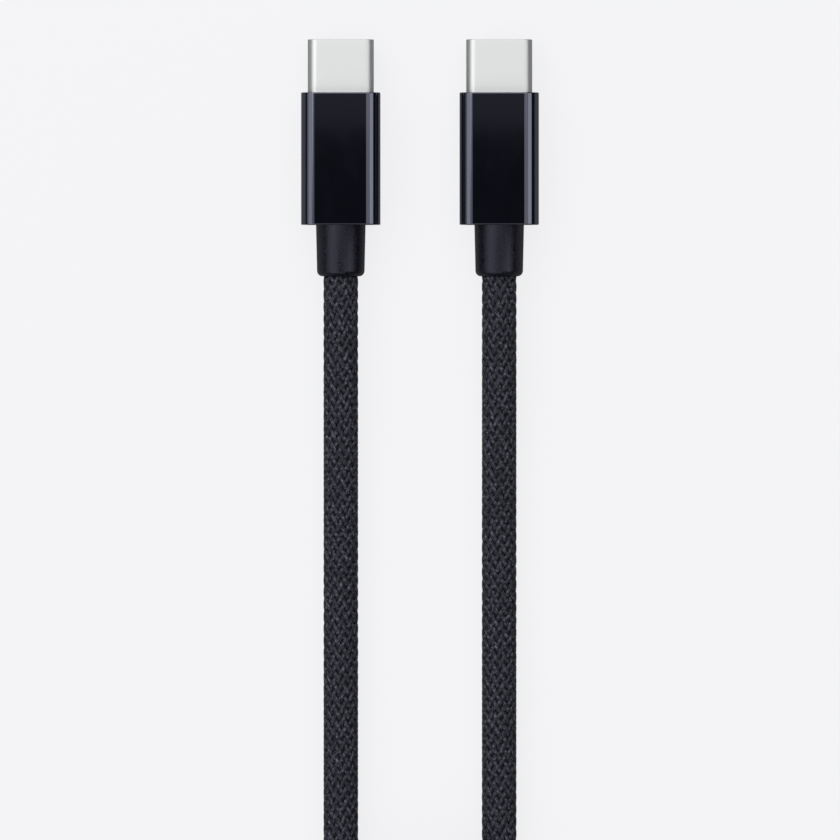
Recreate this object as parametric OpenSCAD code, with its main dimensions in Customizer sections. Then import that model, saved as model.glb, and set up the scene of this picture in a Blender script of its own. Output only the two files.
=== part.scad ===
// Charging cable with a reversible plug on each end and a braided cord.
// Both plugs lie flat and side by side, pointing along +Y. The cord leaves them along -Y and
// what is spare of it is folded into a tied hank. Millimetres, +Z up, z = 0 is what it lies on.
// The origin is the middle of the two plugs. A plug is drawn with the tip of its metal shell at
// its own origin, and a station is a distance back from that tip.

/* [Cable] */
// Distance between the middles of the two plugs
plug_pitch = 19.8; // [16:0.1:30]
// Diameter of the braided cord
cord_d = 4.2; // [3.8:0.1:4.6]
// Length of each free stretch between its boot and the hank
free_len = 66.5; // [60:0.5:120]

/* [Housing] */
// Width of the outer housing
housing_w = 9.9; // [9.7:0.1:12]
// Thickness of the outer housing
housing_h = 6.3; // [6.2:0.1:7.5]
// Length of the outer housing
housing_len = 16.5; // [15.5:0.1:24]
// Radius of the four long edges of the housing
housing_r = 1.9; // [1.5:0.1:2.8]
// Side wall of the housing
housing_wall = 0.7; // [0.5:0.05:0.75]
// Front wall of the housing, which the metal shell comes out of
front_wall = 0.8; // [0.5:0.1:1.2]

/* [Boot] */
// Length of the boot behind the housing
boot_len = 6.45; // [5:0.05:15]
// Diameter of the boot where it leaves the housing
boot_front_d = 6.2; // [5.8:0.05:6.2]
// Diameter of the boot at its end
boot_rear_d = 5.95; // [5.4:0.05:6.1]
// Radius of the rounded edge at the boot's end
boot_edge_r = 0.6; // [0.2:0.05:0.6]
// Length of the flange that holds the boot in the housing
flange_len = 1.15; // [0.8:0.05:2]

/* [Metal shell] */
// Outer width of the metal shell
shell_w = 8.25; // [8.1:0.05:8.4]
// Outer height of the metal shell
shell_h = 2.4; // [2.3:0.05:2.5]
// Wall of the metal shell
shell_wall = 0.2; // [0.15:0.01:0.25]
// Length of the shell in front of the housing
shell_reach = 6.65; // [6.2:0.05:8]
// Length of the shell inside the housing
shell_insert = 3.55; // [3:0.05:4.5]

/* [Insulator] */
// Length of the moulded insulator inside the shell
insulator_len = 8.0; // [7.6:0.1:8.4]
// How far the insulator lies behind the shell's front edge
insulator_recess = 0.25; // [0.1:0.05:0.5]
// Distance from the outside of the shell to the side of the slot
slot_side = 0.7; // [0.66:0.01:0.9]
// Height of the slot for the socket's tongue
slot_h = 1.04; // [0.9:0.02:1.1]
// Depth of the slot
slot_depth = 5.8; // [5:0.1:6.2]

/* [Contacts] */
// Distance between neighbouring contact places
contact_pitch = 0.5; // [0.45:0.01:0.52]
// Width of a contact
contact_w = 0.25; // [0.15:0.01:0.28]
// Thickness of a contact
contact_t = 0.12; // [0.08:0.01:0.14]
// Half the opening between the upper and lower contact points
contact_point = 0.3; // [0.26:0.01:0.34]
// Length of the blocks that hold the contact rows
block_len = 1.55; // [1:0.05:1.8]
// Thickness of the grounding springs
ground_t = 0.08; // [0.05:0.01:0.09]

/* [Latch] */
// Thickness of the steel plate between the contact rows
plate_t = 0.2; // [0.1:0.02:0.24]
// Thickness of a latch arm
arm_t = 0.16; // [0.1:0.01:0.18]
// Height of a latch arm
arm_h = 0.5; // [0.3:0.05:0.5]
// How far the latch nose stands into the slot
nose_depth = 0.26; // [0.1:0.01:0.3]

/* [Circuit board] */
// Width of the circuit board
board_w = 6.6; // [5:0.1:7]
// Thickness of the circuit board
board_t = 0.6; // [0.4:0.05:0.7]
// Side of the controller chip
chip_side = 2.0; // [1:0.1:2.4]
// Height of the controller chip
chip_h = 0.6; // [0.4:0.05:0.9]
// Length of a capacitor
cap_len = 1.0; // [0.6:0.1:1.2]
// Width of a capacitor, which is also its height
cap_w = 0.5; // [0.3:0.05:0.6]

/* [Inner shield] */
// Sheet thickness of the shield halves
can_t = 0.2; // [0.1:0.01:0.25]
// Space between the shield and the housing's inner wall
can_gap = 0.2; // [0.1:0.01:0.25]
// Width of the tongue that laps over the metal shell
lap_w = 4.0; // [2:0.1:5]

/* [Cord end] */
// Length of the moulded filler behind the shield
mould_len = 2.65; // [2.5:0.05:3.2]
// Diameter of the cord with its braid and jacket stripped off
core_d = 3.3; // [2.8:0.1:3.4]
// Outer diameter of the crimped sleeve
ferrule_d = 4.0; // [3.7:0.05:4.2]
// Length of the crimped sleeve
ferrule_len = 2.0; // [1:0.1:2.2]
// Diameter of the power and ground wires over their insulation
power_wire_d = 0.9; // [0.6:0.05:1]
// Diameter of the control and data wires over their insulation
signal_wire_d = 0.5; // [0.3:0.05:0.55]

/* [Hank] */
// Bend radius of the innermost loop at the two folds
fold_r = 12.6; // [12:0.1:16]
// Distance from the tie to the middle of each fold
hank_half = 24; // [20:0.5:40]
// Space between neighbouring turns of the hank
turn_gap = 0.46; // [0.44:0.01:0.8]
// Bend radius of the cord as it turns out to the side of the hank
lead_bend_r = 14; // [12.6:0.1:20]
// Width of the strap that ties the hank
tie_w = 6; // [4:0.5:7]
// Thickness of the strap
tie_t = 0.8; // [0.5:0.1:1.2]

/* [Fits] */
// Clearance of pieces that are pressed or slid together
fit = 0.03; // [0.02:0.005:0.04]
// Clearance round the moving latch arms and the contacts
play = 0.06; // [0.04:0.005:0.07]
// Gap between pieces that stand one behind the other
stand_off = 0.05; // [0.03:0.01:0.08]

/* [Hidden] */
$fn = 48;
LEFT = -1;
RIGHT = 1;
UPPER = 1;
LOWER = -1;

// Contact places that carry a contact, out of twelve in a row
CONTACT_PLACES = 12;
UPPER_PINS = [1, 4, 5, 6, 7, 9, 12];
LOWER_PINS = [1, 4, 5, 9, 12];

// Stations along a plug
housing_rear = shell_reach + housing_len;
plug_len = housing_rear + boot_len;
shell_rear = shell_reach + shell_insert;
insulator_rear = insulator_recess + insulator_len;
slot_end = insulator_recess + slot_depth;
block_front = insulator_rear + stand_off;
block_rear = block_front + block_len;
board_front = block_rear + 2 * stand_off;
flange_front = housing_rear - flange_len;
mould_front = flange_front - mould_len;
can_front = shell_rear + stand_off;
can_rear = mould_front - 2 * stand_off;
wire_room = 0.6;
board_rear = can_rear - can_t - wire_room;
core_front = board_rear + wire_room - 2 * stand_off;
tail_len = 1.4;
tail_end = board_front + tail_len;
wire_lap = 1.85;

// Half sizes seen from the front of a plug
shell_inner_h = shell_h / 2 - shell_wall;
insulator_h = shell_inner_h - fit;
shell_flat = (shell_w - shell_h) / 2;
slot_half_w = shell_w / 2 - slot_side;
slot_half_h = slot_h / 2;
beam_low = slot_half_h + fit;
groove_high = beam_low + contact_t + play + fit;
recess_low = insulator_h - ground_t;
finger_at = 4 * contact_pitch;
finger_w = 0.5;
window_w = finger_w + 2 * play;

// Latch
arm_in = slot_half_w + fit;
arm_out = arm_in + arm_t;
bead_r = 0.14;
bead_at = arm_in + 0.04;
bead_station = insulator_rear - 0.2;
ear_front = bead_station - 0.3;
ear_len = 0.6;
ear_half_w = arm_in - fit;
arm_tip = insulator_recess + 1.05;
plate_half_w = slot_half_w - 0.425;
plate_front = slot_end + 0.95;

// Where the plugs and the hank lie
tip_y = plug_len / 2;
axis_z = housing_h / 2;
cord_r = cord_d / 2;
turn_step = cord_d + turn_gap;
tie_clear = 0.5;
outer_fold_r = fold_r + turn_step;
lead_turn = acos((plug_pitch / 2 + lead_bend_r) / (lead_bend_r + outer_fold_r));
lead_start_y = -plug_len / 2 - free_len - cord_d;
fold_y = lead_start_y - (lead_bend_r + outer_fold_r) * sin(lead_turn);
hank_y = fold_y - hank_half;

// A run of the hank is part of the fold's arc, then an arc the other way past the tie
waist_half = turn_step / 2 + 0.02;
waist_in = fold_r - waist_half;
arc_sum = (waist_in * waist_in + hank_half * hank_half) / (2 * waist_in);
waist_r = arc_sum - fold_r;
lean = atan2(hank_half, arc_sum - waist_in);
run_half = arc_sum * lean * PI / 180;

// The strap's edge as a share of a run, and how high the strands lie over the strap there
tie_edge = 0.5 - tie_w / (4 * run_half);
tie_bed = (tie_t + tie_clear) / pow(sin(180 * tie_edge), 2);

// Hank counts: four loops' runs on each side, two wide and two high
STRANDS = 4;
RUN_STEPS = 7;
FOLD_STEPS = 5;
LEAD_STEPS = 3;
HANK_SIDES = 6;
FREE_SIDES = 10;
// How much wider the four strands spread halfway through their quarter turn, because they slant
TWIST_SWELL = 0.07;

// Free stretch: distance behind the boot, and share of the height from the rest height to the plug's
// axis. The last point is where the hank begins.
FREE_ROUTE = [[0, 1], [5, 1], [13, 0.7], [22, 0.2], [30, 0], [40, 0], [50, 0], [58, 0]];

// ---- helpers ----

// Places a plug's pieces: side is LEFT or RIGHT
module at_plug(side) {
    translate([side * plug_pitch / 2, tip_y, axis_z]) children();
}

// Extrudes a front view (across, up) backwards from a station
module back_from(station, length) {
    translate([0, -station, 0]) rotate([90, 0, 0]) linear_extrude(length) children();
}

// Extrudes a side view (station, up) across the plug, centred at u
module across(u, width) {
    translate([u, 0, 0]) rotate([90, 0, -90]) linear_extrude(width, center = true) children();
}

// Turns a profile (radius, station) round the plug's axis
module turned() {
    rotate([90, 0, 0]) rotate_extrude() children();
}

// A box by its middle across, its stations and its heights
module block(u, width, from, to, low, high) {
    translate([u - width / 2, -to, low]) cube([width, to - from, high - low]);
}

module rounded_rect(w, h, r) {
    square([w - 2 * r, h], center = true);
    square([w, h - 2 * r], center = true);
    for (x = [-1, 1], y = [-1, 1])
        translate([x * (w / 2 - r), y * (h / 2 - r)]) circle(r);
}

// The housing's outline, drawn in by inset on every side
module housing_outline(inset) {
    rounded_rect(housing_w - 2 * inset, housing_h - 2 * inset, max(housing_r - inset, 0.2));
}

// The metal shell's outline, grown by more on every side
module shell_outline(more) {
    square([2 * shell_flat, shell_h + 2 * more], center = true);
    for (x = [-1, 1]) translate([x * shell_flat, 0]) circle(shell_h / 2 + more);
}

function pin_u(pin) = (pin - (CONTACT_PLACES + 1) / 2) * contact_pitch;

// ---- plug pieces ----

module metal_shell() {
    length = shell_rear;
    color("gainsboro") difference() {
        union() {
            for (x = [-1, 1]) translate([x * shell_flat, 0, 0]) turned() {
                translate([0, shell_wall]) square([shell_h / 2, length - shell_wall]);
                square([shell_h / 2 - shell_wall, length]);
                translate([shell_h / 2 - shell_wall, shell_wall]) intersection() {
                    circle(shell_wall);
                    translate([0, -shell_wall]) square(shell_wall);
                }
            }
            across(0, 2 * shell_flat) {
                translate([shell_wall, -shell_h / 2]) square([length - shell_wall, shell_h]);
                translate([0, -shell_inner_h]) square([length, 2 * shell_inner_h]);
                for (z = [-1, 1]) translate([shell_wall, z * shell_inner_h]) circle(shell_wall);
            }
        }
        back_from(-1, length + 2) shell_outline(-shell_wall);
    }
}

module housing() {
    color([0.06, 0.065, 0.08]) difference() {
        back_from(shell_reach, housing_len) housing_outline(0);
        back_from(shell_reach + front_wall, housing_len) housing_outline(housing_wall);
        back_from(shell_reach - 1, front_wall + 2) shell_outline(fit);
    }
}

module boot() {
    color([0.13, 0.13, 0.15]) difference() {
        union() {
            back_from(flange_front, flange_len) housing_outline(housing_wall + fit);
            translate([0, -housing_rear, 0]) turned() polygon(concat(
                [[0, 0], [boot_front_d / 2, 0]],
                [for (a = [0:15:90])
                    [boot_rear_d / 2 - boot_edge_r * (1 - cos(a)), boot_len - boot_edge_r * (1 - sin(a))]],
                [[0, boot_len]]));
        }
        back_from(flange_front - 1, plug_len + 2) circle(cord_r + fit);
    }
}

module insulator() {
    side_low = -arm_h / 2 - play;
    side_high = arm_h / 2 + play;
    color([0.08, 0.08, 0.09]) difference() {
        back_from(insulator_recess, insulator_len) shell_outline(-shell_wall - fit);
        block(0, 2 * slot_half_w, insulator_recess - 1, slot_end, -slot_half_h, slot_half_h);
        for (row = [UPPER, LOWER], pin = row == UPPER ? UPPER_PINS : LOWER_PINS)
            mirror([0, 0, row == UPPER ? 0 : 1])
                block(pin_u(pin), contact_w + 2 * fit, insulator_recess + 0.45,
                    insulator_rear + 1, board_t / 2 - fit, groove_high);
        for (row = [0, 1], x = [-1, 1]) mirror([0, 0, row]) {
            block(x * finger_at, window_w, insulator_recess + 2.65, slot_end - 0.75, 0, 2);
            block(0, 2 * finger_at + window_w, insulator_recess + 0.9, insulator_recess + 3.05,
                recess_low, 2);
        }
        for (x = [-1, 1]) {
            block(x * (arm_in - play + 0.5), 1, insulator_recess + 0.65, insulator_rear + 1,
                side_low, side_high);
            block(x * (bead_at - bead_r - 2 * play + 0.5), 1, bead_station - bead_r - 0.26,
                insulator_rear + 1, side_low, side_high);
        }
        block(0, 2 * (plate_half_w + play), plate_front - stand_off, insulator_rear + 1,
            -plate_t / 2 - fit, plate_t / 2 + fit);
        block(0, 2 * (ear_half_w + play), ear_front - stand_off, insulator_rear + 1,
            -plate_t / 2 - fit, plate_t / 2 + fit);
    }
}

// Side view of one contact: tail on the board, step up, beam in its groove, sprung point
module contact_outline() {
    tail = board_t / 2;
    step_back = insulator_rear - 0.05;
    step_front = insulator_rear - 0.55;
    bend = insulator_recess + 2.75;
    point_back = insulator_recess + 1.7;
    point_front = insulator_recess + 1.45;
    tip = insulator_recess + 0.85;
    rise = [0, contact_t];
    low = [[tail_end, tail], [step_back, tail], [step_front, beam_low], [bend, beam_low],
        [point_back, contact_point], [point_front, contact_point], [tip, beam_low - 0.06]];
    polygon(concat(low, [for (i = [len(low) - 1:-1:0]) low[i] + rise]));
}

module contact_row(pins) {
    color("gold") for (pin = pins) across(pin_u(pin), contact_w) contact_outline();
}

module upper_contacts() {
    contact_row(UPPER_PINS);
}

module lower_contacts() {
    mirror([0, 0, 1]) contact_row(LOWER_PINS);
}

module contact_block(pins) {
    color([0.12, 0.12, 0.13]) difference() {
        intersection() {
            back_from(block_front, block_len) shell_outline(-shell_wall - fit);
            block(0, 2 * slot_half_w - 0.2, block_front, block_rear, plate_t / 2, insulator_h);
        }
        for (pin = pins)
            block(pin_u(pin), contact_w + 2 * fit, block_front - 1, block_rear + 1, 0,
                board_t / 2 + contact_t + fit);
    }
}

module upper_contact_block() {
    contact_block(UPPER_PINS);
}

module lower_contact_block() {
    mirror([0, 0, 1]) contact_block(LOWER_PINS);
}

module latch_plate() {
    color("silver") difference() {
        union() {
            block(0, 2 * plate_half_w, plate_front, block_rear, -plate_t / 2, plate_t / 2);
            block(0, 2 * ear_half_w, ear_front, ear_front + ear_len, -plate_t / 2, plate_t / 2);
        }
        for (x = [-1, 1]) translate([x * bead_at, -bead_station, -plate_t])
            cylinder(h = 2 * plate_t, r = bead_r + fit);
    }
}

// One latch arm seen from above, on the +X side
module latch_arm_outline() {
    translate([bead_at, -bead_station]) circle(bead_r);
    polygon([[arm_out, -bead_station], [arm_out, -arm_tip], [arm_in, -arm_tip],
        [arm_in - nose_depth, -arm_tip - 0.45], [arm_in - nose_depth, -arm_tip - 0.75],
        [arm_in, -arm_tip - 1], [arm_in, -bead_station]]);
}

module latch_arm_right() {
    color("silver") translate([0, 0, -arm_h / 2]) linear_extrude(arm_h) latch_arm_outline();
}

module latch_arm_left() {
    mirror([1, 0, 0]) latch_arm_right();
}

// Plate in its recess with two sprung fingers that reach into the slot
module ground_spring() {
    front = insulator_recess + 0.95;
    back = insulator_recess + 2.95;
    finger_point = slot_end - 1.45;
    color("silver") {
        block(0, 2 * finger_at + finger_w, front, back, recess_low, insulator_h);
        for (x = [-1, 1]) across(x * finger_at, finger_w)
            polygon([[back - 0.2, recess_low], [finger_point, contact_point + 0.1],
                [finger_point + 0.4, contact_point + 0.18],
                [finger_point + 0.4, contact_point + 0.18 + ground_t],
                [finger_point, contact_point + 0.1 + ground_t], [back, insulator_h],
                [back - 0.2, insulator_h]]);
    }
}

module upper_ground_spring() {
    ground_spring();
}

module lower_ground_spring() {
    mirror([0, 0, 1]) ground_spring();
}

module circuit_board() {
    color("darkgreen")
        block(0, board_w, board_front, board_rear, -board_t / 2, board_t / 2);
}

module controller_chip() {
    middle = (tail_end + board_rear - wire_lap) / 2;
    color([0.1, 0.1, 0.1])
        block(0, chip_side, middle - chip_side / 2, middle + chip_side / 2, board_t / 2,
            board_t / 2 + chip_h);
}

module board_capacitors() {
    middle = (tail_end + board_rear - wire_lap) / 2;
    color("tan") for (x = [-1, 1], y = [-1, 1])
        block(x * board_w / 4, cap_w, middle + y * cap_len * 0.7 - cap_len / 2,
            middle + y * cap_len * 0.7 + cap_len / 2, -board_t / 2 - cap_w, -board_t / 2);
}

// Upper half of the shield: sides, end walls, and a tongue that laps over the metal shell
module shield_half() {
    outer = housing_wall + can_gap;
    lap_front = shell_reach + front_wall + 1;
    color("lightgray") {
        difference() {
            back_from(can_front, can_rear - can_front) housing_outline(outer);
            back_from(can_front + can_t, can_rear - can_front - 2 * can_t)
                housing_outline(outer + can_t);
            block(0, housing_w, can_front - 1, can_rear + 1, -housing_h, stand_off);
            block(0, housing_w, can_front - 1, can_front + can_t, -housing_h, shell_h / 2);
            back_from(can_rear - 1, 2) circle(core_d / 2 + stand_off);
        }
        block(0, lap_w, lap_front, can_front + can_t, shell_h / 2, shell_h / 2 + can_t);
    }
}

module upper_shield_can() {
    shield_half();
}

module lower_shield_can() {
    mirror([0, 0, 1]) shield_half();
}

module crimp_ferrule() {
    color("goldenrod") back_from(mould_front + 0.25, ferrule_len) difference() {
        circle(ferrule_d / 2);
        circle(core_d / 2 + fit);
    }
}

module inner_mould() {
    color("whitesmoke") back_from(mould_front, mould_len) difference() {
        housing_outline(housing_wall + fit);
        circle(ferrule_d / 2 + fit);
    }
}

module cord_end() {
    color([0.16, 0.16, 0.18]) {
        back_from(core_front, flange_front - core_front) circle(core_d / 2);
        back_from(flange_front, plug_len - flange_front) circle(cord_r);
    }
}

// An insulated wire from the cord's stripped end to its pad: u across, face UPPER or LOWER
module wire(u, face, d) {
    height = face * (board_t / 2 + d / 2);
    translate([u, 0, height])
        back_from(board_rear - wire_lap, core_front - board_rear + wire_lap) circle(d / 2);
}

wire_gap = 0.1;
power_u = signal_wire_d / 2 + wire_gap + 0.05 + power_wire_d / 2;

module power_wire() {
    color("red") wire(-power_u, UPPER, power_wire_d);
}

module ground_wire() {
    color([0.1, 0.1, 0.1]) wire(power_u, LOWER, power_wire_d);
}

module control_wire() {
    color("royalblue") wire(0, UPPER, signal_wire_d);
}

module data_wires() {
    pitch = signal_wire_d + wire_gap;
    color("green") wire(pitch, UPPER, signal_wire_d);
    color("white") wire(2 * pitch, UPPER, signal_wire_d);
}

// ---- cord ----

function unit(v) = v / norm(v);
function heading(points, i) =
    unit(points[min(i + 1, len(points) - 1)] - points[max(i - 1, 0)]);
function ring(points, i, sides, r) =
    let (ahead = heading(points, i), side = unit(cross(ahead, [0, 0, 1])), up = cross(side, ahead))
    [for (k = [0:sides - 1]) let (a = 90 + 360 * k / sides)
        points[i] + r * (cos(a) * side + sin(a) * up)];

// One closed tube along a list of points
module tube(points, sides, r) {
    last = len(points) - 1;
    corners = [for (i = [0:last]) each ring(points, i, sides, r)];
    walls = [for (i = [0:last - 1], k = [0:sides - 1])
        let (a = i * sides + k, b = i * sides + (k + 1) % sides, c = a + sides, d = b + sides)
        each [[a, c, b], [b, c, d]]];
    caps = [for (k = [1:sides - 2])
        each [[0, k, k + 1], [last * sides, last * sides + k + 1, last * sides + k]]];
    polyhedron(corners, concat(walls, caps));
}

// The free stretch behind one plug
function free_points(side) =
    [for (p = concat(FREE_ROUTE, [[free_len, 0]]))
        [side * plug_pitch / 2, -plug_len / 2 - p[0], cord_r + (axis_z - cord_r) * p[1]]];

module free_cord(side) {
    color([0.16, 0.16, 0.18]) tube(free_points(side), FREE_SIDES, cord_r);
}

// The hank's track, as [x, y, outward x, outward y] about the tie. A run starts at the upper
// fold, passes the tie at share 0.5 and ends at the lower fold, on the -X side.
function half_run(l) =
    l < fold_r * lean * PI / 180
    ? let (t = l / fold_r * 180 / PI)
        [-fold_r * cos(t), hank_half - fold_r * sin(t), -cos(t), -sin(t)]
    : let (b = l / waist_r * 180 / PI - lean * (1 + fold_r / waist_r))
        [waist_r * cos(b) - waist_half - waist_r, -waist_r * sin(b), -cos(b), sin(b)];
function run(f) =
    f <= 0.5 ? half_run(2 * f * run_half)
    : let (q = half_run(2 * (1 - f) * run_half)) [q[0], -q[1], q[2], -q[3]];
function lower_fold(f) =
    let (g = 180 * f)
    [-fold_r * cos(g), -hank_half - fold_r * sin(g), -cos(g), -sin(g)];
function turn_over(q) = [-q[0], -q[1], -q[2], -q[3]];

// A point on the track, moved out by p turns and up by level turns, and raised over the strap
function on_track(q, out, level, raise) =
    [q[0] + q[2] * out * turn_step, hank_y + q[1] + q[3] * out * turn_step,
        cord_r + level * turn_step + raise];
function over_strap(f) = tie_bed * pow(sin(180 * f), 2);
function eased(f) = f * f * (3 - 2 * f);

// Where strand n lies on the -X side: two in the lower layer, spiralling in, and then two above,
// spiralling out. On the +X side the four strands turn round each other by a quarter turn, which
// takes each to its next place, and swell out by what the turning square needs.
STRAND_PLACES = [[1, 0], [0, 0], [0, 1], [1, 1]];
function left_run(n, f) =
    on_track(run(f), STRAND_PLACES[n][0], STRAND_PLACES[n][1], over_strap(f));
function right_run(n, f) =
    let (turn = 90 * eased(f), a = -45 - 90 * n - turn, mid = (cos(turn) + sin(turn)) / 2,
        spread = 1 + TWIST_SWELL * pow(sin(180 * f), 2))
    on_track(turn_over(run(f)), spread * (mid + cos(a) / sqrt(2)),
        spread * (mid + sin(a) / sqrt(2)), over_strap(f));
function low_fold(n, f) =
    on_track(lower_fold(f), STRAND_PLACES[n][0], STRAND_PLACES[n][1], 0);
function high_fold(n, f) =
    on_track(turn_over(lower_fold(f)), STRAND_PLACES[n + 1][0], STRAND_PLACES[n + 1][1], 0);

// From the free stretch round the outside of the upper folds, for the -X side
function lead(steps) = concat(
    [[-plug_pitch / 2, lead_start_y + cord_d, cord_r]],
    [for (i = [0:steps - 1]) let (a = lead_turn * i / steps)
        [-plug_pitch / 2 - lead_bend_r * (1 - cos(a)), lead_start_y - lead_bend_r * sin(a), cord_r]],
    [for (i = [0:steps - 1]) let (a = lead_turn * (1 - i / steps))
        [-outer_fold_r * cos(a), fold_y + outer_fold_r * sin(a), cord_r]]);
function other_side(points) =
    [for (i = [len(points) - 1:-1:0]) [-points[i][0], points[i][1], points[i][2]]];

function hank_points(fine) =
    let (runs = RUN_STEPS * fine, folds = FOLD_STEPS * fine)
    concat(
        lead(LEAD_STEPS * fine),
        [for (n = [0:STRANDS - 1]) each concat(
            [for (i = [0:runs - 1]) left_run(n, i / runs)],
            [for (i = [0:folds - 1]) low_fold(n, i / folds)],
            [for (i = [0:runs - 1]) right_run(n, i / runs)],
            n == STRANDS - 1 ? [right_run(n, 1)]
                : [for (i = [0:folds - 1]) high_fold(n, i / folds)])],
        other_side(lead(LEAD_STEPS * fine)));

module cord_hank() {
    color([0.16, 0.16, 0.18]) tube(hank_points(1), HANK_SIDES, cord_r);
}

// The strap: a closed band drawn round the strands where they pass its two edges
module tie_outline(r) {
    hull() for (n = [0:STRANDS - 1], f = [tie_edge, 1 - tie_edge]) {
        translate([left_run(n, f)[0], left_run(n, f)[2]]) circle(r, $fn = 32);
        translate([right_run(n, f)[0], right_run(n, f)[2]]) circle(r, $fn = 32);
    }
}

module cord_tie() {
    color([0.1, 0.1, 0.11]) translate([0, hank_y + tie_w / 2, 0]) rotate([90, 0, 0])
        linear_extrude(tie_w) difference() {
            tie_outline(cord_r + tie_clear + tie_t);
            tie_outline(cord_r + tie_clear);
        }
}

// The lengths and the least gap between turns that lie more than a few diameters apart along the cord
function length_of(points) =
    let (parts = [for (i = [1:len(points) - 1]) norm(points[i] - points[i - 1])])
    parts * [for (i = parts) 1];
function least_gap(points, skip) =
    min([for (i = [0:len(points) - 1 - skip], j = [i + skip:len(points) - 1])
        norm(points[i] - points[j])]) - cord_d;
union() {  // cord_hank
    echo(cord_length = length_of(hank_points(8)) + 2 * length_of(free_points(LEFT)));
    echo(least_gap = least_gap(hank_points(6), 40));
    echo(hank_y = hank_y, fold_y = fold_y, waist_r = waist_r, lean = lean, lead_turn = lead_turn);
}

at_plug(LEFT) metal_shell();  // left_plug_metal_shell
at_plug(LEFT) housing();  // left_plug_housing
at_plug(LEFT) boot();  // left_plug_boot
at_plug(LEFT) insulator();  // left_plug_insulator
at_plug(LEFT) upper_contacts();  // left_plug_upper_contacts
at_plug(LEFT) lower_contacts();  // left_plug_lower_contacts
at_plug(LEFT) upper_contact_block();  // left_plug_upper_contact_block
at_plug(LEFT) lower_contact_block();  // left_plug_lower_contact_block
at_plug(LEFT) latch_plate();  // left_plug_latch_plate
at_plug(LEFT) latch_arm_left();  // left_plug_latch_arm_left
at_plug(LEFT) latch_arm_right();  // left_plug_latch_arm_right
at_plug(LEFT) upper_ground_spring();  // left_plug_upper_ground_spring
at_plug(LEFT) lower_ground_spring();  // left_plug_lower_ground_spring
at_plug(LEFT) circuit_board();  // left_plug_circuit_board
at_plug(LEFT) controller_chip();  // left_plug_controller_chip
at_plug(LEFT) board_capacitors();  // left_plug_board_capacitors
at_plug(LEFT) upper_shield_can();  // left_plug_upper_shield_can
at_plug(LEFT) lower_shield_can();  // left_plug_lower_shield_can
at_plug(LEFT) crimp_ferrule();  // left_plug_crimp_ferrule
at_plug(LEFT) inner_mould();  // left_plug_inner_mould
at_plug(LEFT) cord_end();  // left_plug_cord_end
at_plug(LEFT) power_wire();  // left_plug_power_wire
at_plug(LEFT) ground_wire();  // left_plug_ground_wire
at_plug(LEFT) control_wire();  // left_plug_control_wire
at_plug(LEFT) data_wires();  // left_plug_data_wires
at_plug(RIGHT) metal_shell();  // right_plug_metal_shell
at_plug(RIGHT) housing();  // right_plug_housing
at_plug(RIGHT) boot();  // right_plug_boot
at_plug(RIGHT) insulator();  // right_plug_insulator
at_plug(RIGHT) upper_contacts();  // right_plug_upper_contacts
at_plug(RIGHT) lower_contacts();  // right_plug_lower_contacts
at_plug(RIGHT) upper_contact_block();  // right_plug_upper_contact_block
at_plug(RIGHT) lower_contact_block();  // right_plug_lower_contact_block
at_plug(RIGHT) latch_plate();  // right_plug_latch_plate
at_plug(RIGHT) latch_arm_left();  // right_plug_latch_arm_left
at_plug(RIGHT) latch_arm_right();  // right_plug_latch_arm_right
at_plug(RIGHT) upper_ground_spring();  // right_plug_upper_ground_spring
at_plug(RIGHT) lower_ground_spring();  // right_plug_lower_ground_spring
at_plug(RIGHT) circuit_board();  // right_plug_circuit_board
at_plug(RIGHT) controller_chip();  // right_plug_controller_chip
at_plug(RIGHT) board_capacitors();  // right_plug_board_capacitors
at_plug(RIGHT) upper_shield_can();  // right_plug_upper_shield_can
at_plug(RIGHT) lower_shield_can();  // right_plug_lower_shield_can
at_plug(RIGHT) crimp_ferrule();  // right_plug_crimp_ferrule
at_plug(RIGHT) inner_mould();  // right_plug_inner_mould
at_plug(RIGHT) cord_end();  // right_plug_cord_end
at_plug(RIGHT) power_wire();  // right_plug_power_wire
at_plug(RIGHT) ground_wire();  // right_plug_ground_wire
at_plug(RIGHT) control_wire();  // right_plug_control_wire
at_plug(RIGHT) data_wires();  // right_plug_data_wires
free_cord(LEFT);  // left_free_cord
cord_hank();
free_cord(RIGHT);  // right_free_cord
cord_tie();
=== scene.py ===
import bpy, bmesh, math
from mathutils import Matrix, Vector, noise


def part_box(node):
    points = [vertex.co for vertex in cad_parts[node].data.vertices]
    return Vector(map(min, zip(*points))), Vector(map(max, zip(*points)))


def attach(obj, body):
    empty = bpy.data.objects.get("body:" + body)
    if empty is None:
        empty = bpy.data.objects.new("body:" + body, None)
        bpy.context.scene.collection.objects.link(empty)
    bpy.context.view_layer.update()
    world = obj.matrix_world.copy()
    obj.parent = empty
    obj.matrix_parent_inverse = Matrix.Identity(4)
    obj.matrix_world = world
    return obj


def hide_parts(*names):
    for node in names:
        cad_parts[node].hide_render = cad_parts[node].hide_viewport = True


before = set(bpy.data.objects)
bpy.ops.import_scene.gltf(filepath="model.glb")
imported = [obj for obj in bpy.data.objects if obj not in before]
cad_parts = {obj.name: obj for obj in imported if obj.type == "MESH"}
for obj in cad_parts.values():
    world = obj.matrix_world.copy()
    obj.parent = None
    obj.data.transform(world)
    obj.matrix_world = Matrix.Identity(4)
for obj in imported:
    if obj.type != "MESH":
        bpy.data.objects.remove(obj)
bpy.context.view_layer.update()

scene = bpy.context.scene
scene.view_settings.view_transform = "Standard"

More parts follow.
